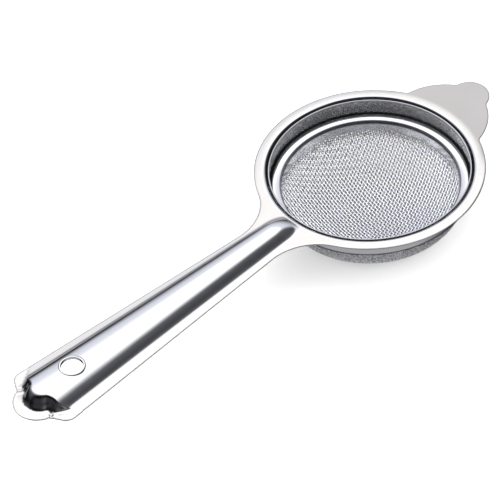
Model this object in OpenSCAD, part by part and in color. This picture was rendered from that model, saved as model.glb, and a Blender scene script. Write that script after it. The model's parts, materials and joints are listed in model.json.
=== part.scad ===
// Hand-held tea strainer: a stamped steel frame with a fine woven bowl and a lift-out coarse basket.
// Origin: centre of the collar, in the plane where the flange's underside sits on a cup.
// +X points to the ear, -X along the handle, +Z up. Millimetres.

/* [Frame] */
// Thickness of the stamped steel sheet
sheet_t = 0.6; // [0.5:0.05:0.7]
// Outer radius of the flange
flange_r = 40; // [39.5:0.1:41]
// Outer radius of the drawn collar
collar_r = 36.3; // [36.1:0.1:36.6]
// Depth of the collar below the flange
collar_h = 7.4; // [7:0.1:8]
// Inner radius of the ledge at the collar's foot
ledge_r = 33.4; // [33.2:0.05:33.5]

/* [Handle] */
// Distance from the ring's centre to the handle's tip
handle_reach = 159.5; // [157:0.5:165]
// Half width of the handle at its neck
neck_half = 8.1; // [8:0.1:9]
// Half width of the handle at its shoulders
shoulder_half = 14.1; // [13.5:0.1:15]
// Height of the pressed rib above the sheet at the neck
rib_neck_h = 3.8; // [3.4:0.1:4.2]
// Height of the pressed rib above the sheet at the end
rib_end_h = 4.9; // [4.6:0.1:5.1]
// Radius of the hang hole
hang_r = 3.75; // [3:0.05:4]

/* [Ear] */
// Distance from the ring's centre to the ear's tip
ear_reach = 56.2; // [55:0.2:58]
// Upward tilt of the ear
ear_tilt = 4.4; // [0:0.2:5]

/* [Fine bowl] */
// Thickness of the fine woven cloth
fine_t = 0.25; // [0.2:0.05:0.3]
// Depth of the bowl's foot below the flange's underside
bowl_h = 21.1; // [20.8:0.1:22]

/* [Basket] */
// Outer radius of the basket's ring
basket_r = 34.15; // [34:0.05:34.3]
// Thickness of the basket's ring
basket_t = 0.35; // [0.3:0.05:0.4]
// Thickness of the coarse woven cloth
coarse_t = 0.4; // [0.3:0.05:0.4]
// Depth of the basket's foot below the flange's underside
basket_h = 19.3; // [18:0.1:19.5]

/* [Hidden] */
$fn = 96;
steel = [0.80, 0.80, 0.81];
bright = [0.90, 0.90, 0.92];
wire = [0.55, 0.55, 0.58];

// Collar: the lip at its mouth, the corner and the ledge at its foot
lip_r = sheet_t + 0.3;
collar_in = collar_r - sheet_t;
collar_corner = 2.2;
corner_r = collar_r - collar_corner;
corner_z = collar_corner - collar_h;
rim_join_r = collar_r + 2;

// Handle: neck fillet, rounded shoulders, scalloped tip
neck_fillet = 20;
neck_centre_y = neck_half + neck_fillet;
neck_x = -sqrt(pow(flange_r + neck_fillet, 2) - pow(neck_centre_y, 2));
shoulder_x = 11.7 - handle_reach;
shoulder_round = 4;
shoulder_end = 160;
tip_round = 8.7;
tip_x = tip_round - handle_reach;
tip_notch = 107;
side_slope = (shoulder_half - neck_half) / (neck_x - shoulder_x);

// Rib: part of a cone whose axis dips towards the handle's end
rib_neck_x = -45;
rib_end_x = -147;
rib_neck_half = 5.2;
rib_end_half = 10.3;
rib_start_x = -36.9;
rib_start_slope = 42;
rib_stop_slope = 62;
rib_border = 3.8;
rib_run = rib_neck_x - rib_end_x;
rib_over = 14;

// Hang hole: on the rib's crest, with a flat lip round it
hang_x = -136;
hang_lip = 0.55;
hang_lip_h = 1.2;

// Ear: two shoulder arcs and a rounded tip
ear_tip_round = 7.4;
ear_arc = 21.1;
ear_arc_x = 31.9;
ear_arc_y = 3.3;
ear_root_x = 38;

// Fine bowl: free top edge, fold over the ledge, wall, rounded corner and dished foot
cloth_gap = 0.05;
cloth_top_r = 34.95;
cloth_top_z = 0.02;
bowl_wall_r = ledge_r - 0.1;
bowl_fold = 0.15;
bowl_corner = 9.7;
bowl_dish = 2.5;
binding_t = 0.1;
binding_h = 0.7;

// Basket: flat ring, short tapered wall, clamp hoop and dished cloth
seat_gap = 0.2;
ring_z = sheet_t - collar_h + cloth_gap + fine_t + seat_gap;
ring_bend = 0.5;
wall_top_r = 31.35;
wall_foot_r = 30.75;
wall_foot_z = -10.2;
clamp_top_z = -8.3;
clamp_t = 0.3;
basket_corner = 2.5;

// Radius of a dome section from its half width and height
function dome_r(half, h) = (half * half + h * h) / (2 * h);
rib_neck_r = dome_r(rib_neck_half, rib_neck_h);
rib_end_r = dome_r(rib_end_half, rib_end_h);
rib_dip = atan((rib_neck_h - rib_neck_r - rib_end_h + rib_end_r) / rib_run);
rib_grow = (rib_end_r - rib_neck_r) / rib_run;

// Points of an arc from angle a to angle b, in n steps
function arc(x, y, r, a, b, n) =
    [for (i = [0 : n]) let (t = a + (b - a) * i / n) [x + r * cos(t), y + r * sin(t)]];
// The same points in reverse order
function backwards(p) = [for (i = [len(p) - 1 : -1 : 0]) p[i]];
// The same points mirrored across the X axis
function across(p) = [for (q = p) [q[0], -q[1]]];
// Unit direction of a line at its point i
function heading(p, i) = let (d = p[min(i + 1, len(p) - 1)] - p[max(i - 1, 0)]) d / norm(d);
// A line moved by t towards its right, and kept off the axis of turning
function beside(p, t) =
    [for (i = [0 : len(p) - 1]) let (d = heading(p, i)) [max(p[i][0] + t * d[1], 0), p[i][1] - t * d[0]]];
// Closed section of a sheet of thickness t that follows a line
function sheet_section(p, t) = concat(p, backwards(beside(p, t)));

// Line of a dished foot: a corner turned from the vertical, then a shallow cap down to the axis
function dish(r, z, corner, depth) =
    let (cap = (pow(r - corner, 2) + pow(depth, 2) - pow(corner, 2)) / (2 * (depth - corner)),
         turn = asin((r - corner) / (cap - corner)), steps = 8)
    concat(
        arc(r - corner, z, corner, 0, turn - 90, steps),
        [for (i = [1 : steps]) let (t = turn * (1 - i / steps)) [cap * sin(t), z - depth + cap - cap * cos(t)]]);

// Half width of the handle at x
function handle_half(x) = neck_half + side_slope * (neck_x - x);
// Outer radius of the basket's wall at height z
function wall_r(z) =
    wall_foot_r + (wall_top_r - wall_foot_r) * (z - wall_foot_z) / (ring_z - ring_bend - wall_foot_z);

module handle_plan() {
    side = concat(
        [[-flange_r + 4, neck_half], [neck_x, neck_half]],
        arc(shoulder_x, shoulder_half - shoulder_round, shoulder_round, 88, shoulder_end, 8),
        arc(tip_x, 0, tip_round, tip_notch, 180, 16));
    polygon(concat(side, backwards(across(side))));
    difference() {
        translate([neck_x, 8 - neck_centre_y]) square([-neck_x - flange_r + 6, 2 * neck_centre_y - 16]);
        for (side_y = [-1, 1]) translate([neck_x, side_y * neck_centre_y]) circle(neck_fillet);
    }
}

module ear_plan() {
    translate([ear_reach - ear_tip_round, 0]) circle(ear_tip_round);
    intersection() {
        translate([ear_arc_x, ear_arc_y]) circle(ear_arc);
        translate([ear_arc_x, -ear_arc_y]) circle(ear_arc);
        translate([rim_join_r - 6, -flange_r]) square([flange_r, 2 * flange_r]);
    }
}

// Plan of the rib's foot: tapered sides, cut corners and a round end lobe
module rib_plan(inset) {
    end_x = shoulder_x - 1.8 + inset;
    end_y = 8.4 - inset;
    start_x = rib_start_x - inset;
    polygon([[start_x, 12], [end_x + 3, 12], [end_x, end_y], [end_x, -end_y], [end_x + 3, -12], [start_x, -12]]);
    translate([tip_x, 0]) circle(tip_round - rib_border - inset);
}

// Everything under a plane that passes through [x, z] and rises at an angle towards -X
module under_slope(x, z, angle) {
    size = 400;
    translate([x, 0, z]) rotate([0, angle, 0]) translate([-size / 2, -size / 2, -size]) cube(size);
}

// Solid of the rib, or of the hollow under it when inset is the sheet's thickness
module rib_solid(inset) {
    stop_x = tip_x - tip_round + rib_border + inset;
    intersection() {
        translate([rib_neck_x, 0, sheet_t + rib_neck_h - rib_neck_r])
            rotate([0, -90 - rib_dip, 0])
                translate([0, 0, -rib_over])
                    cylinder(
                        h = rib_run + 2 * rib_over,
                        r1 = rib_neck_r - rib_over * rib_grow - inset,
                        r2 = rib_end_r + rib_over * rib_grow - inset);
        translate([0, 0, -inset]) linear_extrude(12) rib_plan(inset);
        under_slope(rib_start_x - inset, sheet_t, rib_start_slope);
        under_slope(stop_x, sheet_t, -rib_stop_slope);
    }
}

// Flange lip, collar wall, rounded foot and ledge, as one turned section
module collar_ring() {
    outer = concat(
        [[rim_join_r, 0], [collar_r, 0]],
        arc(corner_r, corner_z, collar_corner, 0, -90, 8),
        [[ledge_r, -collar_h]]);
    inner = concat(
        [[ledge_r, sheet_t - collar_h]],
        arc(corner_r, corner_z, collar_corner - sheet_t, -90, 0, 8),
        arc(collar_in + lip_r, sheet_t - lip_r, lip_r, 180, 90, 8),
        [[rim_join_r, sheet_t]]);
    rotate_extrude() polygon(concat(outer, inner));
}

// Flat sheet outside the collar: flange, handle border and tilted ear
module sheet() {
    difference() {
        union() {
            linear_extrude(sheet_t) {
                circle(flange_r);
                handle_plan();
            }
            translate([ear_root_x, 0, 0]) rotate([0, -ear_tilt, 0]) translate([-ear_root_x, 0, 0])
                linear_extrude(sheet_t) ear_plan();
        }
        translate([0, 0, -2]) cylinder(h = 5, r = rim_join_r - 0.5);
    }
}

module frame() {
    lip_top = sheet_t + rib_neck_h + (rib_end_h - rib_neck_h) * (rib_neck_x - hang_x) / rib_run;
    color(steel) difference() {
        union() {
            difference() {
                union() {
                    collar_ring();
                    sheet();
                    rib_solid(0);
                }
                rib_solid(sheet_t);
            }
            translate([hang_x, 0, lip_top - hang_lip_h]) cylinder(h = hang_lip_h, r = hang_r + hang_lip);
        }
        translate([hang_x, 0, -1]) cylinder(h = 12, r = hang_r);
    }
}

// Line of the fine cloth's outer face, from its free top edge to the foot of the bowl
function fine_line() = concat(
    [[cloth_top_r, cloth_top_z]],
    arc(corner_r, corner_z, collar_corner - sheet_t - cloth_gap, 0, -90, 6),
    arc(bowl_wall_r + bowl_fold, sheet_t - collar_h + cloth_gap - bowl_fold, bowl_fold, 90, 180, 3),
    dish(bowl_wall_r, bowl_dish + bowl_corner - bowl_h, bowl_corner, bowl_corner + bowl_dish));

module fine_bowl() {
    color(wire) rotate_extrude() polygon(sheet_section(fine_line(), fine_t));
}

// Narrow channel folded over the fine cloth's top edge
module cloth_binding() {
    slot_in = cloth_top_r - fine_t - 0.03;
    slot_out = cloth_top_r + 0.12;
    low = cloth_top_z - binding_h;
    color(steel) rotate_extrude() difference() {
        translate([slot_in - binding_t, low]) square([slot_out - slot_in + 2 * binding_t, binding_h + 0.03 + binding_t]);
        translate([slot_in, low - 1]) square([slot_out - slot_in, 1 + binding_h + 0.03]);
    }
}

// Ring that carries the basket on the ledge, with the short wall that holds its cloth
module basket_ring() {
    line = concat(
        [[basket_r, ring_z]],
        arc(wall_top_r + ring_bend, ring_z - ring_bend, ring_bend, 90, 180, 5),
        [[wall_foot_r, wall_foot_z]]);
    color(bright) rotate_extrude() polygon(sheet_section(line, basket_t));
}

// Hoop that presses the coarse cloth against the wall from outside
module basket_clamp() {
    off = 2 * cloth_gap + coarse_t;
    foot_z = wall_foot_z + 0.2;
    line = [[wall_r(clamp_top_z) + off + clamp_t, clamp_top_z], [wall_r(foot_z) + off + clamp_t, foot_z]];
    color(steel) rotate_extrude() polygon(sheet_section(line, clamp_t));
}

// Line of the coarse cloth's outer face, from under the clamp to the foot of the basket
function coarse_line() =
    let (z = wall_foot_z - 0.1)
    concat(
        [[wall_r(clamp_top_z) + cloth_gap + coarse_t, clamp_top_z]],
        dish(wall_foot_r + cloth_gap + coarse_t, z, basket_corner, basket_h + z));

module basket_cloth() {
    color(wire) rotate_extrude() polygon(sheet_section(coarse_line(), coarse_t));
}

frame();
cloth_binding();
fine_bowl();
basket_ring();
basket_clamp();
basket_cloth();
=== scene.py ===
"""Tea strainer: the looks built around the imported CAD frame.

Shapes are worked out in millimetres in the row frame (origin at the collar's centre in the plane of the
flange's underside, +X to the ear, +Z up) and turned into metres when a mesh is made.
"""

import json
import math

import bpy
import numpy as np
from mathutils import Matrix, Vector, kdtree
from mathutils.geometry import delaunay_2d_cdt


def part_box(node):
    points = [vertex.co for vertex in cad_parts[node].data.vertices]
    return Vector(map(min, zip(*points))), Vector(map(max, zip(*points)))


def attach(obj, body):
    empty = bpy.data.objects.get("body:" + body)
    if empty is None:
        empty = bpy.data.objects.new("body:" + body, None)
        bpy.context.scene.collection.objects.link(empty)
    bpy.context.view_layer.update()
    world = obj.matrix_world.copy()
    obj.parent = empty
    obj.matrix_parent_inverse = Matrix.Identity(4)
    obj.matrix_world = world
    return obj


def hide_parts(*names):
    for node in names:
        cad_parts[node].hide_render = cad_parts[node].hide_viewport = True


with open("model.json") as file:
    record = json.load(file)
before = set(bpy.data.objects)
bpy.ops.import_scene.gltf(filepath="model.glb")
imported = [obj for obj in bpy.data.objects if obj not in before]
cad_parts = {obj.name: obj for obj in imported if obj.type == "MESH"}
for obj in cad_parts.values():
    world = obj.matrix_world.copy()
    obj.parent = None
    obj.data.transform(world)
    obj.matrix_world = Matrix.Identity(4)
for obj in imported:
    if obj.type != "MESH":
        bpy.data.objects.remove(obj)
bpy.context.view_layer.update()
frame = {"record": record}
MM = 0.001


# ---- Sizes, read from the frame ----

def reach(node, corner, axis):
    """Millimetre coordinate of a CAD node's box: corner 0 is the lowest, 1 the highest."""
    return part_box(node)[corner][axis] / MM


mounts = {mount["name"]: mount for mount in frame["record"]["mounts"]}
SHEET = 0.6
COLLAR_R = mounts["collar"]["dims"]["r_mm"]
COLLAR_IN = COLLAR_R - SHEET
LIP_R = SHEET + 0.65
LIP_START = COLLAR_IN + LIP_R
FLANGE_R = reach("frame", 1, 1)
COLLAR_FOOT = reach("frame", 0, 2)
LEDGE_R = 33.4
CORNER = 2.2
CORNER_R = COLLAR_R - CORNER
CORNER_Z = COLLAR_FOOT + CORNER
COLLAR_TURNS = 400

HANDLE_END = reach("frame", 0, 0)
NECK_HALF = 8.1
NECK_FILLET = 20
SHOULDER_HALF = 14.1
SHOULDER_ROUND = 4
SHOULDER_X = HANDLE_END + 11.7
TIP_ROUND = 8.7
TIP_X = HANDLE_END + TIP_ROUND

HOLE_X = mounts["hang_hole"]["pos_m"][0] / MM
HOLE_R = mounts["hang_hole"]["dims"]["r_mm"]
HOLE_LIP = 0.6
HOLE_EDGE = HOLE_R + 0.9
HOLE_TURNS = 60

EAR_ROUND = 7.4
EAR_X = reach("frame", 1, 0) - EAR_ROUND
EAR_SLOPE = math.tan(math.radians(4.4))
EAR_BEND_R = 38.3

FLANK = math.radians(50)
DROOP = math.tan(math.radians(4))
RIM_DROOP = math.tan(math.radians(6))
EDGE_ROLL = ((0.16, 0.01, 8), (0.3, 0.05, 22), (0.56, 0.17, 27), (0.66, 0.24, 48), (0.72, 0.34, 78))
EDGE = 0.72
LEDGE_ROLL = ((0.08, 0.02, 30), (0.14, 0.06, 60))
LEDGE_EDGE = 0.14
EDGE_UNDER = 0.1
UP = Vector((0, 0, 1))

# Level directions in the studio, as the camera sees them
CAMERA_AHEAD = (0.688, 0.726, 0)
CAMERA_RIGHT = (0.726, -0.688, 0)


# ---- Small helpers ----

def arc(centre, radius, start, stop, step=0.5):
    """Points of an arc in the plane, angles in degrees."""
    count = max(2, math.ceil(abs(math.radians(stop - start)) * radius / step))
    turn = np.radians(np.linspace(start, stop, count + 1))
    return np.stack([centre[0] + radius * np.cos(turn), centre[1] + radius * np.sin(turn)], 1)


def circle(turns):
    """Points round a circle of radius 1."""
    angle = np.arange(turns) * 2 * math.pi / turns
    return np.stack([np.cos(angle), np.sin(angle)], 1)


def line(start, stop, step=0.5):
    """Points of a straight run."""
    count = max(1, math.ceil(math.dist(start, stop) / step))
    return np.linspace(start, stop, count + 1)


def chain(*runs):
    """One line of points from several runs that follow each other."""
    points = np.concatenate(runs)
    keep = np.ones(len(points), bool)
    keep[1:] = np.linalg.norm(np.diff(points, axis=0), axis=1) > 1e-4
    return points[keep]


def bearing(start, stop):
    """Direction from one point to another, in degrees."""
    return math.degrees(math.atan2(stop[1] - start[1], stop[0] - start[0]))


def meet(c1, r1, c2, r2):
    """Crossing of two circles that lies to the left of the way from c1 to c2."""
    gap = math.dist(c1, c2)
    along = (r1 * r1 - r2 * r2 + gap * gap) / (2 * gap)
    off = math.sqrt(r1 * r1 - along * along)
    ux, uy = (c2[0] - c1[0]) / gap, (c2[1] - c1[1]) / gap
    return c1[0] + along * ux - off * uy, c1[1] + along * uy + off * ux


def smooth_step(value, start, stop):
    """0 below start, 1 above stop, smooth between."""
    t = np.clip((value - start) / (stop - start), 0, 1)
    return t * t * (3 - 2 * t)


def smooth_min(a, b, blend):
    """Lower of two heights, rounded where they cross."""
    return np.minimum(a, b) - np.maximum(blend - np.abs(a - b), 0) ** 2 / (4 * blend)


def smooth_max(a, b, blend):
    """Higher of two heights, rounded where they cross."""
    return -smooth_min(-a, -b, blend)


def mark(piece, name, value):
    """Keeps a value at each of a piece's points, for its material to read."""
    piece.data.attributes.new(name, "FLOAT", "POINT").data.foreach_set("value", value.astype(np.float32))


def make_piece(name, points, faces, body, material, replaced=(), normals=None):
    """Mesh object from millimetre points, with its body, slot, material and the CAD nodes it stands for."""
    mesh = bpy.data.meshes.new(name)
    mesh.from_pydata((np.asarray(points) * MM).tolist(), [], faces)
    mesh.update()
    mesh.shade_smooth()
    if normals is not None:
        mesh.normals_split_custom_set_from_vertices(np.asarray(normals).tolist())
    mesh.materials.append(material)
    piece = bpy.data.objects.new(name, mesh)
    bpy.context.scene.collection.objects.link(piece)
    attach(piece, body)
    if replaced:
        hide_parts(*replaced)
    return piece


# ---- Outline of the stamped sheet ----

def half_outline():
    """Edge of the sheet on the +Y side, from the ear's tip round to the handle's tip."""
    ear, shoulder, ring = (EAR_X, 0), (31.9, -3.3), (0, 0)
    shoulder_r = 21.1
    notch_fillet, root_fillet = 2.0, 2.2
    notch = meet(shoulder, shoulder_r + notch_fillet, ear, EAR_ROUND + notch_fillet)
    notch_stop = bearing(notch, shoulder)
    if notch_stop > 0:
        notch_stop -= 360
    root = meet(ring, FLANGE_R + root_fillet, shoulder, shoulder_r + root_fillet)
    neck_y = NECK_HALF + NECK_FILLET
    neck = (-math.sqrt((FLANGE_R + NECK_FILLET) ** 2 - neck_y ** 2), neck_y)
    round_centre = (SHOULDER_X, SHOULDER_HALF - SHOULDER_ROUND)
    round_end = arc(round_centre, SHOULDER_ROUND, 160, 161)[0]
    tip = (TIP_X, 0)
    tip_start = arc(tip, TIP_ROUND, 107, 108)[0]
    return chain(
        arc(ear, EAR_ROUND, 0, bearing(ear, notch)),
        arc(notch, notch_fillet, bearing(notch, ear), notch_stop, 0.25),
        arc(shoulder, shoulder_r, bearing(shoulder, notch), bearing(shoulder, root)),
        arc(root, root_fillet, bearing(root, shoulder), bearing(root, ring), 0.35),
        arc(ring, FLANGE_R, bearing(ring, root), bearing(ring, neck)),
        arc(neck, NECK_FILLET, bearing(neck, ring), -90),
        line((neck[0], NECK_HALF), arc(round_centre, SHOULDER_ROUND, 87, 88)[0]),
        arc(round_centre, SHOULDER_ROUND, 87, 160, 0.35),
        line(round_end, tip_start, 0.35),
        arc(tip, TIP_ROUND, 107, 180, 0.35),
    )


def whole_outline():
    """Closed edge of the sheet, and the outward direction at each of its points."""
    half = half_outline()
    points = np.concatenate([half, (half * [1, -1])[-2:0:-1]])
    run = np.roll(points, -1, 0) - np.roll(points, 1, 0)
    out = np.stack([run[:, 1], -run[:, 0]], 1)
    return points, out / np.linalg.norm(out, axis=1)[:, None]


# ---- Height of the pressed sheet ----

def rib_height(x, y):
    """Height of the handle's pressed rib above the flat sheet, before its foot is blended."""
    neck_x, end_x = -45.0, -147.0
    neck_half, end_half = 4.9, 10.1
    neck_crest, end_crest = 3.8, 5.2
    start_x, start_angle = -36.8, 34
    along = (neck_x - x) / (neck_x - end_x)
    half = neck_half + (end_half - neck_half) * along
    crest = neck_crest + (end_crest - neck_crest) * along
    radius = (half * half + crest * crest) / (2 * crest)
    side = radius * math.sin(FLANK)
    round_top = np.sqrt(np.maximum(radius * radius - y * y, 0.01))
    flank = radius * math.cos(FLANK) - (np.abs(y) - side) * math.tan(FLANK)
    dome = crest - radius + np.where(np.abs(y) < side, round_top, flank)
    dome = smooth_min(dome, 5.75 - along, 1.3)
    start = math.tan(math.radians(start_angle)) * (start_x - x - y * y / 9)
    off = np.abs(y)
    foot_lobe = 5.5 - np.hypot(x - TIP_X - 0.8, y)
    foot_block = smooth_min(x - TIP_X + 1.0, (x - TIP_X + 0.5) * 0.541 + (7.5 - off) * 0.841, 0.6)
    foot = smooth_max(foot_lobe, foot_block, 0.5)
    top_lobe = 3.7 - np.hypot(x - TIP_X - 1.7, y)
    top_block = (x - TIP_X - 1.1) * 0.912 + (4.9 - off) * 0.409
    top = smooth_max(top_lobe, top_block, 1.0)
    stop = 5.6 * foot / np.maximum(foot - top, 0.8)
    return smooth_min(smooth_min(dome, start, 3.0), stop, 3.0)


def sheet_height(x, y):
    """Height of the sheet's top face above its flat border."""
    ring = np.hypot(x, y)
    foot_blend = 1.1 + 0.9 * smooth_step(-x, 145, 149)
    rib = smooth_max(rib_height(x, y), 0, foot_blend) * smooth_step(ring, LIP_START, LIP_START + 1.4)
    crease_x, crease_y = TIP_X + 0.2, 6.3
    notch_x, notch_y = TIP_X - 2.4, 8.5
    span = np.array([notch_x - crease_x, notch_y - crease_y])
    t = np.clip(((x - crease_x) * span[0] + (np.abs(y) - crease_y) * span[1]) / (span @ span), 0, 1)
    off = np.hypot(x - crease_x - t * span[0], np.abs(y) - crease_y - t * span[1])
    crease_depth = 0.42 + 0.4 * (1 - t)
    crease_width = 0.6 + 0.25 * (1 - t)
    crease = crease_depth * np.exp(-(off / crease_width) ** 2)
    ear = smooth_max(ring - EAR_BEND_R, 0, 0.5) * EAR_SLOPE * smooth_step(x, 26, 35)
    droop = smooth_max(-rib_height(x, y), 0, 0.5) / math.tan(FLANK) * DROOP * smooth_step(-x, 45, 60)
    turn = np.degrees(np.arctan2(np.abs(y), x))
    open_rim = smooth_step(turn, 27, 36) * (1 - smooth_step(turn, 132, 148))
    rim = smooth_max(ring - EAR_BEND_R, 0, 0.4) * RIM_DROOP * open_rim
    most_droop, most_rim = 0.3, 0.2
    return rib - crease + ear - np.minimum(droop, most_droop) - np.minimum(rim, most_rim)


def sheet_normals(x, y):
    """Directions square to the sheet's top face."""
    d = 0.02
    slope_x = (sheet_height(x + d, y) - sheet_height(x - d, y)) / (2 * d)
    slope_y = (sheet_height(x, y + d) - sheet_height(x, y - d)) / (2 * d)
    n = np.stack([-slope_x, -slope_y, np.ones_like(slope_x)], 1)
    return n / np.linalg.norm(n, axis=1)[:, None]


def inside(points, loop):
    """Which points lie inside a closed loop."""
    x, y = points[:, 0:1], points[:, 1:2]
    ax, ay = loop[:, 0], loop[:, 1]
    bx, by = np.roll(ax, -1), np.roll(ay, -1)
    cross = (ay > y) != (by > y)
    with np.errstate(divide="ignore", invalid="ignore"):
        at = ax + (y - ay) / (by - ay) * (bx - ax)
    return (np.sum(cross & (x < at), axis=1) % 2).astype(bool)


def lattice(low, high, step):
    """Triangular lattice of points over a rectangle."""
    rows = []
    for i, y in enumerate(np.arange(low[1], high[1], step * 0.866)):
        xs = np.arange(low[0] + (i % 2) * step / 2, high[0], step)
        rows.append(np.stack([xs, np.full_like(xs, y)], 1))
    return np.concatenate(rows)


def sheet_points(loops):
    """Points spread over the sheet, closer together where it bends, and clear of the loops."""
    low, high = (HANDLE_END, -FLANGE_R), (EAR_X + EAR_ROUND, FLANGE_R)
    coarse_step, medium_step, fine_step = 0.9, 0.55, 0.34
    loop_gap = 0.22
    coarse = lattice(low, high, coarse_step)
    fine = lattice(low, (6 - LIP_START, SHOULDER_HALF), fine_step)
    fine = fine[np.abs(fine[:, 1]) < SHOULDER_HALF]

    def busy(p):
        """Where the sheet bends sharply: the rib's foot and both its ends."""
        x, y = p[:, 0], p[:, 1]
        rib = rib_height(x, y)
        foot = np.abs(rib) < 1.7
        end = (x < -145) & (rib > -4)
        start = (x > -43) & (x < -36) & (np.abs(y) < 8)
        return foot | end | start

    def ribbed(p):
        """Where the rib or the start of its foot lies."""
        return rib_height(p[:, 0], p[:, 1]) > -0.5

    medium = lattice(low, (-38, SHOULDER_HALF), medium_step)
    points = np.concatenate([
        fine[busy(fine)],
        medium[~busy(medium) & ribbed(medium)],
        coarse[~busy(coarse) & ~ribbed(coarse)],
    ])
    ring = np.hypot(points[:, 0], points[:, 1])
    hole = np.hypot(points[:, 0] - HOLE_X, points[:, 1])
    points = points[inside(points, loops[0]) & (ring > LIP_START + 0.2) & (hole > HOLE_EDGE + 0.12)]
    edges = np.concatenate(loops)
    tree = kdtree.KDTree(len(edges))
    for i, p in enumerate(edges):
        tree.insert((p[0], p[1], 0), i)
    tree.balance()
    near = np.array([tree.find((p[0], p[1], 0))[2] for p in points])
    return points[near > loop_gap]


# ---- The stamped frame ----

def rim_rows(points, normals, out, thickness, roll):
    """Rows of points and directions that carry a sheet's edge over its roll and down to its underside."""
    width = roll[-1][0]
    rows = []
    for run, drop, tilt in roll:
        turn = math.radians(tilt)
        rows.append((points + run * out - drop * normals, math.sin(turn) * out + math.cos(turn) * normals))
    for turn in (0, math.pi / 4):
        direction = math.cos(turn) * out - math.sin(turn) * normals
        base = points + (width - EDGE_UNDER) * out - (thickness - EDGE_UNDER) * normals
        rows.append((base + EDGE_UNDER * direction, direction))
    rows.append((points + (width - EDGE_UNDER) * out - thickness * normals, -normals))
    return rows


class Shell:
    """Points, directions and faces of one closed mesh, gathered row by row."""

    def __init__(self):
        self.points, self.normals, self.faces, self.count = [], [], [], 0

    def add(self, points, normals):
        """Adds a row of points and gives back their places in the mesh."""
        start = self.count
        self.points.append(points)
        self.normals.append(normals)
        self.count += len(points)
        return np.arange(start, self.count)

    def bridge(self, first, second, closed=True):
        """Quads between two rows; their direction sets which side faces out."""
        pairs = range(len(first) if closed else len(first) - 1)
        for i in pairs:
            j = (i + 1) % len(first)
            self.faces.append((int(first[i]), int(first[j]), int(second[j]), int(second[i])))


def collar_profile():
    """Inner face of the collar, from the lip at the flange down to the ledge's edge."""
    inner_corner = CORNER - SHEET
    lip = arc((LIP_START, SHEET - LIP_R), LIP_R, 90, 180, 0.16)
    wall = line((COLLAR_IN, SHEET - LIP_R), (COLLAR_IN, CORNER_Z), 0.8)
    corner = arc((CORNER_R, CORNER_Z), inner_corner, 0, -90, 0.25)
    ledge = line((CORNER_R, CORNER_Z - inner_corner), (LEDGE_R + LEDGE_EDGE, CORNER_Z - inner_corner), 0.4)
    return chain(lip, wall, corner, ledge)


def profile_normals(profile):
    """Directions square to a profile, on its left side."""
    run = np.gradient(profile, axis=0)
    n = np.stack([-run[:, 1], run[:, 0]], 1)
    return n / np.linalg.norm(n, axis=1)[:, None]


def flat_sheet(loops):
    """Flat triangles inside the outline and clear of the two openings, and each loop's places among them."""
    flat = np.concatenate(loops + [sheet_points(loops)])
    sides, start = [], 0
    for loop in loops:
        count = len(loop)
        sides += [(start + i, start + (i + 1) % count) for i in range(count)]
        start += count
    result = delaunay_2d_cdt([Vector(p) for p in flat], sides, [], 1, 1e-6, True)
    verts = np.array([tuple(p) for p in result[0]])
    tris = np.array(result[2])
    origin = {source: i for i, sources in enumerate(result[3]) for source in sources}
    places, start = [], 0
    for loop in loops:
        places.append(np.array([origin[start + i] for i in range(len(loop))]))
        start += len(loop)

    middle = verts[tris].mean(1)
    keep = inside(middle, loops[0])
    keep &= np.hypot(middle[:, 0], middle[:, 1]) > LIP_START * math.cos(math.pi / COLLAR_TURNS)
    keep &= np.hypot(middle[:, 0] - HOLE_X, middle[:, 1]) > HOLE_EDGE * math.cos(math.pi / HOLE_TURNS)
    tris = tris[keep]
    a, b, c = verts[tris[:, 0]], verts[tris[:, 1]], verts[tris[:, 2]]
    turned = (b - a)[:, 0] * (c - a)[:, 1] - (b - a)[:, 1] * (c - a)[:, 0] < 0
    tris[turned] = tris[turned][:, ::-1]
    return verts, tris, places


def add_cut_edge(shell, top_row, bottom_row, points, normals, out):
    """Rolls the sheet's outer edge over, from its top face down to its underside."""
    out = np.column_stack([out, np.zeros(len(out))])
    row = top_row
    for row_points, row_normals in rim_rows(points, normals, out, SHEET, EDGE_ROLL):
        new = shell.add(row_points, row_normals)
        shell.bridge(new, row)
        row = new
    shell.bridge(bottom_row, row)


def add_collar(shell, top_row, bottom_row):
    """Carries both faces of the sheet down the collar, along the ledge and round the ledge's edge."""
    ring = circle(COLLAR_TURNS)
    profile = collar_profile()
    across = -profile_normals(profile)
    across[0] = (0, 1)
    for (r, z), (nr, nz) in zip(profile[1:], across[1:]):
        n = np.column_stack([ring * nr, np.full(COLLAR_TURNS, nz)])
        p = np.column_stack([ring * r, np.full(COLLAR_TURNS, z)])
        new_top, new_bottom = shell.add(p, n), shell.add(p - SHEET * n, -n)
        shell.bridge(top_row, new_top)
        shell.bridge(new_bottom, bottom_row)
        top_row, bottom_row = new_top, new_bottom
    last = np.column_stack([ring * profile[-1][0], np.full(COLLAR_TURNS, profile[-1][1])])
    level = np.tile((0.0, 0.0, 1.0), (COLLAR_TURNS, 1))
    inward = np.column_stack([-ring, np.zeros(COLLAR_TURNS)])
    row = top_row
    for points, normals in rim_rows(last, level, inward, SHEET, LEDGE_ROLL):
        new = shell.add(points, normals)
        shell.bridge(row, new)
        row = new
    shell.bridge(row, bottom_row)


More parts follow.
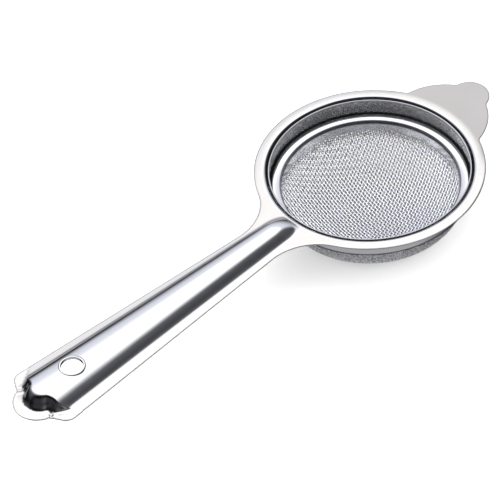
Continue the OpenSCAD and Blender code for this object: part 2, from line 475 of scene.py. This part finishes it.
def add_hole_lip(shell, top_row, bottom_row, rise):
    """Flattened lip round the hang hole, from the rib's top face over and down to its underside."""
    ring = circle(HOLE_TURNS)
    lip_round, lip_drop, lip_foot = 0.16, 0.12, 0.14
    crest = SHEET + float(sheet_height(np.array([HOLE_X]), np.array([0.0]))[0])
    outer = HOLE_R + HOLE_LIP
    lip = chain(
        arc((outer - lip_round, crest - lip_drop), lip_round, 0, 90, 0.08),
        arc((HOLE_R + lip_round, crest - lip_drop), lip_round, 90, 180, 0.08),
        line((HOLE_R, crest - 0.3), (HOLE_R, crest - 1.1), 0.4))
    foot_z = np.minimum(rise + lip_foot, crest - lip_foot)
    foot = np.column_stack([ring * (outer + 0.02) + [HOLE_X, 0], foot_z])
    row = shell.add(foot, np.column_stack([ring, np.full(HOLE_TURNS, 0.5)]) / math.hypot(1, 0.5))
    shell.bridge(top_row, row)
    for (r, z), (nr, nz) in zip(lip, -profile_normals(lip)):
        p = np.column_stack([ring * r + [HOLE_X, 0], np.full(HOLE_TURNS, z)])
        new = shell.add(p, np.column_stack([ring * nr, np.full(HOLE_TURNS, nz)]))
        shell.bridge(row, new)
        row = new
    shell.bridge(row, bottom_row)


def mark_frame(piece, points, normals):
    """Marks the dull ear, the polished rib and collar, and painted shade on the rib's steep faces and in the
    crevice at the top of the collar.
    """
    x, y, z = points.T
    ring = np.hypot(x, y)
    height = sheet_height(x, y)
    ear = smooth_step(ring, 37.6, 39.4) * smooth_step(x, 26, 33)
    ribbed = smooth_step(height, 0.05, 0.5) * (x < -30)
    collar = smooth_step(-ring, -37.3, -36.8)
    # Painted shade: the rib's end wall, its steep flanks and the crevice at the collar's top are darkened in
    # colour.
    end_wall = 0.9 * smooth_step(-normals[:, 0], 0.1, 0.6) * smooth_step(-x, 144, 146)
    flank = 0.2 * smooth_step(-np.abs(normals[:, 2]), -0.86, -0.74)
    steep = (x < -LIP_START) * (height > 0.1) * np.maximum(flank, end_wall)
    crevice = smooth_step(-ring, -COLLAR_IN - 0.8, -COLLAR_IN - 0.3) * smooth_step(-z, -0.5, 0.0)
    mark(piece, "matte", ear)
    mark(piece, "polish", np.maximum(ribbed, collar))
    mark(piece, "painted_shade", np.maximum(steep, 0.9 * crevice))


def build_frame(material):
    """Flange, handle, ear and collar as one sheet with rounded cut edges."""
    outline, out = whole_outline()
    edge = outline - EDGE * out
    mouth = circle(COLLAR_TURNS) * LIP_START
    hole = circle(HOLE_TURNS) * HOLE_EDGE + [HOLE_X, 0]
    verts, tris, (at_edge, at_mouth, at_hole) = flat_sheet([edge, mouth, hole])
    x, y = verts[:, 0], verts[:, 1]
    top = np.stack([x, y, SHEET + sheet_height(x, y)], 1)
    up = sheet_normals(x, y)

    shell = Shell()
    upper = shell.add(top, up)
    lower = shell.add(top - SHEET * up, -up)
    shell.faces += [tuple(int(i) for i in t) for t in upper[tris]]
    shell.faces += [tuple(int(i) for i in t[::-1]) for t in lower[tris]]
    add_cut_edge(shell, upper[at_edge], lower[at_edge], top[at_edge], up[at_edge], out)
    add_collar(shell, upper[at_mouth], lower[at_mouth])
    add_hole_lip(shell, upper[at_hole], lower[at_hole], top[at_hole][:, 2])

    points, normals = np.concatenate(shell.points), np.concatenate(shell.normals)
    piece = make_piece(
        "stamped_frame", points, shell.faces, "strainer", material, ["frame"], normals)
    mark_frame(piece, points, normals)


# ---- Turned pieces ----

def turned_piece(name, profile, body, material, replaced, turns=240):
    """Closed section, points in order anticlockwise in the (r, z) plane, turned round the axis."""
    run = np.roll(profile, -1, 0) - np.roll(profile, 1, 0)
    out = np.stack([run[:, 1], -run[:, 0]], 1)
    out /= np.linalg.norm(out, axis=1)[:, None]
    ring = circle(turns)
    shell = Shell()
    rows = []
    for (r, z), (nr, nz) in zip(profile, out):
        points = np.column_stack([ring * r, np.full(turns, z)])
        rows.append(shell.add(points, np.column_stack([ring * nr, np.full(turns, nz)])))
    for i, row in enumerate(rows):
        shell.bridge(row, rows[(i + 1) % len(rows)])
    points, normals = np.concatenate(shell.points), np.concatenate(shell.normals)
    return make_piece(name, points, shell.faces, body, material, replaced, normals)


def thick(centre_line, half):
    """Closed section round a centre line, with round ends; anticlockwise when the line runs outwards."""
    n = profile_normals(centre_line)
    start, stop = centre_line[0], centre_line[-1]
    head = bearing((0, 0), centre_line[-1] - centre_line[-2])
    tail = bearing((0, 0), centre_line[1] - centre_line[0])
    return chain(
        (centre_line - half * n)[1:-1],
        arc(stop, half, head - 90, head + 90, 0.06),
        (centre_line + half * n)[::-1][1:-1],
        arc(start, half, tail + 90, tail + 270, 0.06)[:-1])


def build_binding(material):
    """Narrow channel folded over the lining's top edge, with a bead along its fold."""
    low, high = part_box("cloth_binding")
    width = 0.6
    outer, inner = high.x / MM, high.x / MM - width
    top, foot = high.z / MM, low.z / MM
    section = chain(
        line((inner + 0.06, foot), (outer - 0.06, foot), 0.2),
        line((outer, foot + 0.06), (outer, top - 0.3), 0.2),
        arc((outer - 0.3, top - 0.3), 0.3, 0, 180, 0.08),
        line((inner, top - 0.34), (inner, foot + 0.06), 0.2))
    turned_piece("cloth_binding_rim", section, "strainer", material, ["cloth_binding"], 300)


def build_basket_ring(material):
    """Polished ring with a rolled outer edge and a short wall under it, standing a little above its node."""
    low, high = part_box("basket_ring")
    proud = 0.25
    outer, top, foot = high.x / MM, high.z / MM + proud, low.z / MM
    half, bend_r, face_r, edge_r = 0.19, 0.4, 4.6, 0.3
    wall_foot_r, wall_top_r, bend_x = 30.58, 31.02, 31.42
    wall_top = top - half - 0.95
    edge_x = outer - half - edge_r
    centre = chain(
        line((wall_foot_r, foot + half), (wall_top_r, wall_top), 0.4),
        arc((bend_x, wall_top), bend_r, 177, 128, 0.06),
        arc((edge_x, top - half - face_r), face_r, 123, 96, 0.12),
        arc((edge_x, top - half - edge_r), edge_r, 86, 10, 0.06))
    piece = turned_piece(
        "basket_ring_turned", thick(centre, half), "basket", material, ["basket_ring"], 300)
    points = np.array([v.co[:] for v in piece.data.vertices]) / MM
    ring = np.hypot(points[:, 0], points[:, 1])
    # Painted light and shade: the wall under the ring gets a lighter colour than its face, and the bend
    # between them is painted dark.
    wall = 1 - smooth_step(points[:, 2], top - 2.0, top - 1.5)
    bend = (1 - smooth_step(ring, 31.2, 31.6)) * (1 - wall)
    mark(piece, "wall", wall)
    mark(piece, "bend", bend)


def build_clamp(material):
    """Hoop that presses the coarse cloth on the wall from outside, with a rolled lower edge."""
    low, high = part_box("basket_clamp")
    outer, top, foot = high.x / MM, high.z / MM, low.z / MM
    half = 0.14
    section = thick(line((outer - 0.5, foot + half), (outer - half, top - half), 0.3), half)
    turned_piece("basket_clamp_hoop", section, "basket", material, ["basket_clamp"])


# ---- Woven cloth ----

class Drape:
    """Turned surface that a flat cloth is pressed on, placed by distance from the axis along the cloth."""

    def __init__(self, profile):
        self.profile = profile
        steps = np.linalg.norm(np.diff(profile, axis=0), axis=1)
        self.length = np.concatenate([[0], np.cumsum(steps)])
        self.normals = profile_normals(profile)
        self.reach = self.length[-1]

    def place(self, flat):
        """Points and upward directions of flat cloth points on the surface."""
        s = np.linalg.norm(flat, axis=1)
        unit = flat / np.maximum(s, 1e-6)[:, None]
        r = np.interp(s, self.length, self.profile[:, 0])
        z = np.interp(s, self.length, self.profile[:, 1])
        nr = np.interp(s, self.length, self.normals[:, 0])
        nz = np.interp(s, self.length, self.normals[:, 1])
        n = np.column_stack([unit * nr[:, None], nz])
        return np.column_stack([unit * r[:, None], z]), n / np.linalg.norm(n, axis=1)[:, None]


def dished_line(radius, z, corner, depth, half):
    """Centre line of a dished foot, from the axis out to the start of its wall; half is half the cloth."""
    cap = ((radius - corner) ** 2 + depth ** 2 - corner ** 2) / (2 * (depth - corner))
    turn = math.degrees(math.asin((radius - corner) / (cap - corner)))
    return chain(
        arc((0, z - depth + cap), cap - half, -90, turn - 90, 0.4),
        arc((radius - corner, z), corner - half, turn - 90, 0, 0.15))


def weave(drape, along, across, pitch, cross_pitch, wire, crimp, segments, sides, parity):
    """Round wires of one direction of a plain weave, bent over and under the other direction's wires."""
    d = np.array([math.cos(along), math.sin(along)])
    n = np.array([-d[1], d[0]])
    e = np.array([-math.sin(across), math.cos(across)])
    points, faces, inward, count = [], [], [], 0
    ring = np.arange(sides) * 2 * math.pi / sides
    slant = abs(d @ e)
    step = cross_pitch / slant / segments
    for i in range(math.ceil(-drape.reach / pitch), math.floor(drape.reach / pitch) + 1):
        off = i * pitch
        half = math.sqrt(max(drape.reach ** 2 - off ** 2, 0))
        if half < 3 * step:
            continue
        t = np.arange(-half, half, step)
        flat = off * n + t[:, None] * d
        place, up = drape.place(flat)
        phase = flat @ e / cross_pitch
        lift = np.cos(math.pi * phase) * (1 if (i + parity) % 2 else -1) * crimp
        centre = place + lift[:, None] * up
        run = np.gradient(centre, axis=0)
        run /= np.linalg.norm(run, axis=1)[:, None]
        side = np.cross(run, up)
        side /= np.linalg.norm(side, axis=1)[:, None]
        top = np.cross(side, run)
        shape = centre[:, None] + wire / 2 * (
            np.cos(ring)[None, :, None] * side[:, None] + np.sin(ring)[None, :, None] * top[:, None])
        m = len(t)
        points.append(shape.reshape(-1, 3))
        inward.append(np.tile(np.sin(ring), m))
        a = count + np.arange((m - 1) * sides).reshape(m - 1, sides)
        b = np.roll(a, -1, 1)
        faces += np.stack([a, b, b + sides, a + sides], -1).reshape(-1, 4).tolist()
        faces.append([count + k for k in range(sides)][::-1])
        faces.append([count + (m - 1) * sides + k for k in range(sides)])
        count += m * sides
    return np.concatenate(points), faces, np.concatenate(inward)


def build_basket_cloth(material):
    """Coarse cloth: two sets of round wires woven over and under each other."""
    low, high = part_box("basket_cloth")
    half, wall_z, corner = 0.2, -10.3, 2.5
    foot = low.z / MM
    dish = dished_line(31.2, wall_z, corner, wall_z - foot, half)
    drape = Drape(chain(dish, line(dish[-1], (31.3, high.z / MM - 0.1), 0.4)))
    a, b = math.radians(24.5), math.radians(81.5)
    pitch_a, pitch_b, wire, crimp = 1.14, 1.22, 0.36, 0.06
    segments, sides = 4, 6
    for name, spec in (
        ("coarse_wires_long", (a, b, pitch_a, pitch_b, wire, crimp, segments, sides, 0)),
        ("coarse_wires_cross", (b, a, pitch_b, pitch_a, wire, crimp, segments, sides, 1)),
    ):
        points, faces, _ = weave(drape, *spec)
        make_piece(name, points, faces, "basket", material, ["basket_cloth"])


def build_fine_cloth(material):
    """Fine cloth: bowl, fold over the ledge and lining of the collar."""
    low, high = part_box("fine_bowl")
    half, corner, dish_extra, gap = 0.125, 9.7, 2.5, 0.05
    foot = low.z / MM
    wall_r = LEDGE_R - 0.1
    bowl_z = foot + corner + dish_extra
    ledge_z = CORNER_Z - CORNER + SHEET + gap + half
    lining = CORNER - SHEET - gap - half
    dish = dished_line(wall_r, bowl_z, corner, corner + dish_extra, half)
    fold_r = 0.35
    drape = Drape(chain(
        dish,
        line(dish[-1], (wall_r - half, ledge_z - fold_r), 0.3),
        arc((wall_r - half + fold_r, ledge_z - fold_r), fold_r, 180, 90, 0.08),
        arc((CORNER_R, CORNER_Z), lining, -90, 0, 0.15),
        line((CORNER_R + lining, CORNER_Z), (34.82, high.z / MM - 0.05), 0.4)))
    a, b = math.radians(62), math.radians(152)
    pitch, wire, crimp = 0.82, 0.35, 0.1
    segments, sides = 2, 4
    for name, spec in (
        ("fine_wires_long", (a, b, pitch, pitch, wire, crimp, segments, sides, 0)),
        ("fine_wires_cross", (b, a, pitch, pitch, wire, crimp, segments, sides, 1)),
    ):
        points, faces, inward = weave(drape, *spec)
        piece = make_piece(name, points, faces, "strainer", material, ["fine_bowl"])
        # Painted shade: the wires are darkened at the fold over the ledge, in a band just below the collar's
        # foot, and on their inner side in the bowl below the collar.
        z = points[:, 2]
        fold = smooth_step(z, COLLAR_FOOT + 0.2, COLLAR_FOOT + 0.6)
        fold *= 1 - smooth_step(z, CORNER_Z - 0.8, CORNER_Z - 0.4)
        shade = smooth_step(z, COLLAR_FOOT - 1.8, COLLAR_FOOT - 1.1)
        shade *= 1 - smooth_step(z, COLLAR_FOOT, COLLAR_FOOT + 0.8)
        inner_side_shade = smooth_step(inward, -0.1, 0.5) * (z < COLLAR_FOOT)
        mark(piece, "painted_wire_shade", np.maximum(np.maximum(fold, shade), inner_side_shade))


# ---- Materials ----

def add(tree, kind, settings=None, **inputs):
    """Adds a node, with its settings and its input values or links."""
    node = tree.nodes.new(kind)
    for key, value in (settings or {}).items():
        setattr(node, key, value)
    for key, value in inputs.items():
        socket = node.inputs[key.replace("_", " ")]
        if isinstance(value, bpy.types.NodeSocket):
            tree.links.new(value, socket)
        else:
            socket.default_value = value
    return node


def new_material(name):
    """Metal material with its Principled shader and object coordinates."""
    material = bpy.data.materials.new(name)
    material.use_nodes = True
    tree = material.node_tree
    shader = tree.nodes["Principled BSDF"]
    shader.inputs["Metallic"].default_value = 1.0
    place = add(tree, "ShaderNodeTexCoord").outputs["Object"]
    return material, tree, shader, place


def noise(tree, place, scale, detail=3.0, stretch=(1, 1, 1)):
    """Noise value over the object, at a scale per metre."""
    moved = add(tree, "ShaderNodeMapping", Vector=place, Scale=stretch).outputs["Vector"]
    return add(tree, "ShaderNodeTexNoise", Vector=moved, Scale=scale, Detail=detail).outputs["Fac"]


def between(tree, value, low, high, start=0.0, stop=1.0):
    """Value mapped from start..stop to low..high."""
    node = add(tree, "ShaderNodeMapRange", Value=value)
    node.inputs["From Min"].default_value = start
    node.inputs["From Max"].default_value = stop
    node.inputs["To Min"].default_value = low
    node.inputs["To Max"].default_value = high
    return node.outputs["Result"]


def blend_colour(tree, factor, first, second):
    """Colour between two colours."""
    node = add(tree, "ShaderNodeMix", {"data_type": "RGBA"})
    tree.links.new(factor, node.inputs["Factor"])
    for socket, colour in (("A", first), ("B", second)):
        target = next(s for s in node.inputs if s.name == socket and s.type == "RGBA")
        if isinstance(colour, bpy.types.NodeSocket):
            tree.links.new(colour, target)
        else:
            target.default_value = (*colour, 1)
    return next(s for s in node.outputs if s.type == "RGBA")


def blend_value(tree, factor, first, second):
    """Value between two values."""
    node = add(tree, "ShaderNodeMix", {"data_type": "FLOAT"})
    tree.links.new(factor, node.inputs[0])
    for index, value in ((2, first), (3, second)):
        if isinstance(value, bpy.types.NodeSocket):
            tree.links.new(value, node.inputs[index])
        else:
            node.inputs[index].default_value = value
    return node.outputs[0]


def bump(tree, shader, height, strength, distance):
    """Fine relief on the shader."""
    node = add(tree, "ShaderNodeBump", Height=height, Strength=strength, Distance=distance)
    tree.links.new(node.outputs["Normal"], shader.inputs["Normal"])


def stamped_steel():
    """Stainless sheet: satin flats, duller ear, polished rib and collar, and painted shade on steep rib
    faces and in the collar's crevice.
    """
    material, tree, shader, place = new_material("stamped_steel")
    polish = add(tree, "ShaderNodeAttribute", {"attribute_name": "polish"}).outputs["Fac"]
    cloud = noise(tree, place, 60, 4)
    grain = noise(tree, place, 2600, 2)
    lines = noise(tree, place, 500, 3, (0.25, 3, 3))
    satin = blend_colour(tree, cloud, (0.45, 0.44, 0.43), (0.49, 0.48, 0.468))
    bright = blend_colour(tree, cloud, (0.47, 0.473, 0.485), (0.51, 0.513, 0.525))
    matte = add(tree, "ShaderNodeAttribute", {"attribute_name": "matte"}).outputs["Fac"]
    dull = blend_colour(tree, cloud, (0.285, 0.277, 0.27), (0.335, 0.327, 0.32))
    flat = blend_colour(tree, matte, satin, dull)
    painted_shade = add(tree, "ShaderNodeAttribute", {"attribute_name": "painted_shade"}).outputs["Fac"]
    clean = blend_colour(tree, polish, flat, bright)
    # Painted shade: where marked, the sheet's colour goes to near black.
    tree.links.new(blend_colour(tree, painted_shade, clean, (0.01, 0.01, 0.012)), shader.inputs["Base Color"])
    rough_satin = between(tree, grain, 0.16, 0.26, 0.3, 0.7)
    rough_bright = between(tree, lines, 0.09, 0.17, 0.3, 0.7)
    rough_flat = blend_value(tree, matte, rough_satin, 0.42)
    tree.links.new(blend_value(tree, polish, rough_flat, rough_bright), shader.inputs["Roughness"])
    relief = blend_value(tree, polish, grain, between(tree, lines, 0.0, 0.3))
    bump(tree, shader, relief, 0.03, 0.00002)
    return material


def binding_steel():
    """Folded strip: satin with fine lines along it."""
    material, tree, shader, place = new_material("binding_steel")
    cloud = noise(tree, place, 120, 3)
    grain = noise(tree, place, 1800, 2, (1, 1, 6))
    colour = blend_colour(tree, cloud, (0.33, 0.33, 0.338), (0.46, 0.46, 0.47))
    tree.links.new(colour, shader.inputs["Base Color"])
    tree.links.new(between(tree, grain, 0.22, 0.4, 0.3, 0.7), shader.inputs["Roughness"])
    bump(tree, shader, grain, 0.15, 0.00003)
    return material


def polished_ring():
    """Turned and polished ring, with faint lines that run round it, its wall painted lighter as painted
    light and its bend painted dark as painted shade.
    """
    material, tree, shader, place = new_material("polished_ring")
    cloud = noise(tree, place, 90, 3)
    lines = noise(tree, place, 900, 2, (1, 1, 8))
    face = blend_colour(tree, cloud, (0.50, 0.503, 0.515), (0.55, 0.55, 0.56))
    wall = add(tree, "ShaderNodeAttribute", {"attribute_name": "wall"}).outputs["Fac"]
    bend = add(tree, "ShaderNodeAttribute", {"attribute_name": "bend"}).outputs["Fac"]
    # Painted light on the wall, painted shade at the bend.
    turned = blend_colour(tree, wall, face, (0.80, 0.80, 0.81))
    tree.links.new(blend_colour(tree, bend, turned, (0.09, 0.09, 0.10)), shader.inputs["Base Color"])
    tree.links.new(between(tree, lines, 0.08, 0.18, 0.3, 0.7), shader.inputs["Roughness"])
    bump(tree, shader, lines, 0.06, 0.00002)
    return material


def wire_steel(name, dark, light, rough):
    """Drawn wire: colour varies a little from place to place, and painted shade darkens it where the piece
    marks it.
    """
    material, tree, shader, place = new_material(name)
    cloud = noise(tree, place, 1300, 2)
    grain = noise(tree, place, 5000, 2)
    painted_wire_shade = add(tree, "ShaderNodeAttribute", {"attribute_name": "painted_wire_shade"}).outputs["Fac"]
    clean = blend_colour(tree, between(tree, cloud, 0.0, 1.0, 0.38, 0.62), dark, light)
    # Painted shade: marked places on the wire go to near black.
    tree.links.new(blend_colour(tree, painted_wire_shade, clean, (0.015, 0.015, 0.017)), shader.inputs["Base Color"])
    tree.links.new(between(tree, grain, rough - 0.06, rough + 0.08, 0.3, 0.7), shader.inputs["Roughness"])
    bump(tree, shader, grain, 0.1, 0.00002)
    return material


# ---- Studio ----

def place_camera():
    """Long lens that looks down on the strainer from the handle's side."""
    azimuth, elevation = -0.7534216, 0.7553094
    roll, yaw, pitch = -0.0410709, 0.0357401, -0.0226805
    distance, focal_length, sensor_width = 1.183763, 247.527, 36
    level = math.cos(elevation)
    back = Vector((math.sin(azimuth) * level, -math.cos(azimuth) * level, math.sin(elevation)))
    right = UP.cross(back).normalized()
    look = Matrix((right, back.cross(right), back)).transposed()
    turn = Matrix.Rotation(yaw, 3, "Y") @ Matrix.Rotation(pitch, 3, "X") @ Matrix.Rotation(roll, 3, "Z")
    data = bpy.data.cameras.new("camera")
    data.sensor_width = sensor_width
    data.lens = focal_length
    camera = bpy.data.objects.new("camera", data)
    camera.matrix_world = Matrix.Translation(back * distance + UP * SHEET * MM) @ (look @ turn).to_4x4()
    bpy.context.scene.collection.objects.link(camera)
    bpy.context.scene.camera = camera


def place_floor():
    """Plain pale floor under the bowl, left out of the metal's reflections."""
    gap, size = 0.0003, 3.0
    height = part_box("fine_bowl")[0].z - gap
    corners = ((-size, -size), (size, -size), (size, size), (-size, size))
    mesh = bpy.data.meshes.new("floor")
    mesh.from_pydata([(x, y, height) for x, y in corners], [], [(0, 1, 2, 3)])
    material = bpy.data.materials.new("floor_paper")
    material.use_nodes = True
    tree = material.node_tree
    shader = tree.nodes["Principled BSDF"]
    place = add(tree, "ShaderNodeTexCoord").outputs["Object"]
    paper = blend_colour(tree, noise(tree, place, 3, 2), (0.93, 0.93, 0.93), (0.95, 0.95, 0.95))
    tree.links.new(paper, shader.inputs["Base Color"])
    shader.inputs["Roughness"].default_value = 0.9
    shader.inputs["Specular IOR Level"].default_value = 0.0
    mesh.materials.append(material)
    floor = bpy.data.objects.new("floor", mesh)
    floor.visible_glossy = False
    bpy.context.scene.collection.objects.link(floor)


def lean(tree, direction, way):
    """How far a direction leans a given way."""
    node = add(tree, "ShaderNodeVectorMath", {"operation": "DOT_PRODUCT"})
    tree.links.new(direction, node.inputs[0])
    node.inputs[1].default_value = way
    return node.outputs["Value"]


def product(tree, first, second):
    """Product of two values."""
    node = add(tree, "ShaderNodeMath", {"operation": "MULTIPLY"})
    tree.links.new(first, node.inputs[0])
    tree.links.new(second, node.inputs[1])
    return node.outputs[0]


def scaled(tree, colour, factor):
    """Colour times a value."""
    node = add(tree, "ShaderNodeVectorMath", {"operation": "SCALE"})
    tree.links.new(colour, node.inputs[0])
    tree.links.new(factor, node.inputs["Scale"])
    return node.outputs[0]


def overhead_tent(tree, height):
    """White tent that brightens in steps from just below the horizon to overhead."""
    low, span = -0.25, 1.25
    cool = (
        (-0.12, 0.13), (-0.04, 0.34), (0.06, 0.52), (0.15, 0.74),
        (0.25, 0.92), (0.38, 1.12), (0.5, 1.22), (0.6, 1.30),
    )
    warm = (0.655, 1.6), (0.70, 2.05)
    ramp = add(tree, "ShaderNodeValToRGB", Fac=between(tree, height, 0.0, 1.0, low, low + span))
    elements = ramp.color_ramp.elements
    for at, level in cool:
        elements.new((at - low) / span).color = (level, level * 1.02, level * 1.12, 1)
    for at, level in warm:
        elements.new((at - low) / span).color = (level * 1.02, level * 1.01, level, 1)
    elements[0].color = (0, 0, 0, 1)
    elements[-1].color = (2.1, 2.1, 2.16, 1)
    return ramp.outputs["Color"]


def studio_world():
    """Even pale room light, and for reflections an overhead tent with a dark side at the camera's right."""
    world = bpy.data.worlds.new("studio")
    bpy.context.scene.world = world
    world.use_nodes = True
    tree = world.node_tree
    tree.nodes.clear()
    direction = add(tree, "ShaderNodeTexCoord").outputs["Generated"]
    height = add(tree, "ShaderNodeSeparateXYZ", Vector=direction).outputs["Z"]
    ahead = lean(tree, direction, CAMERA_AHEAD)
    right = between(tree, lean(tree, direction, CAMERA_RIGHT), 1.0, 0.0, 0.56, 0.72)
    front = between(tree, ahead, 0.0, 1.0, -0.45, 0.0)
    tent = scaled(tree, overhead_tent(tree, height), product(tree, right, front))

    room = add(tree, "ShaderNodeValToRGB", Fac=height)
    room.color_ramp.elements[0].color = (0.03, 0.03, 0.034, 1)
    room.color_ramp.elements[1].position = 0.75
    room.color_ramp.elements[1].color = (0.25, 0.255, 0.275, 1)
    dim_room = scaled(tree, room.outputs["Color"], between(tree, ahead, 0.04, 1.0, -0.55, -0.1))
    above_low = between(tree, height, 0.0, 1.0, -0.05, 0.1)
    under_high = between(tree, height, 1.0, 0.0, 0.3, 0.6)
    behind = between(tree, ahead, 1.0, 0.0, -0.75, -0.35)
    low_side = product(tree, behind, product(tree, above_low, under_high))
    walls = blend_colour(tree, low_side, dim_room, (0.50, 0.505, 0.52))
    below = between(tree, height, 1.0, 0.0, -0.65, -0.15)
    near = between(tree, ahead, 1.0, 0.0, -0.45, 0.1)
    surroundings = blend_colour(tree, product(tree, below, near), walls, (1.05, 1.05, 1.09))

    total = add(tree, "ShaderNodeVectorMath", {"operation": "ADD"})
    tree.links.new(tent, total.inputs[0])
    tree.links.new(surroundings, total.inputs[1])
    tent_light = add(tree, "ShaderNodeBackground", Color=total.outputs[0], Strength=1.0)
    room_light = add(tree, "ShaderNodeBackground", Color=(1, 1, 1, 1), Strength=2.05)
    glossy = add(tree, "ShaderNodeLightPath").outputs["Is Glossy Ray"]
    mixed = add(tree, "ShaderNodeMixShader")
    tree.links.new(glossy, mixed.inputs[0])
    tree.links.new(room_light.outputs[0], mixed.inputs[1])
    tree.links.new(tent_light.outputs[0], mixed.inputs[2])
    output = add(tree, "ShaderNodeOutputWorld")
    tree.links.new(mixed.outputs[0], output.inputs["Surface"])


def main():
    """Sets up the studio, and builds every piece."""
    place_camera()
    bpy.context.scene.view_settings.view_transform = "Standard"
    studio_world()
    place_floor()
    binding = binding_steel()
    build_frame(stamped_steel())
    build_binding(binding)
    build_basket_ring(polished_ring())
    build_clamp(binding)
    build_basket_cloth(wire_steel("coarse_wire", (0.86, 0.87, 0.91), (0.97, 0.975, 1.0), 0.2))
    build_fine_cloth(wire_steel("fine_wire", (0.48, 0.48, 0.50), (1.0, 1.0, 1.0), 0.3))


main()
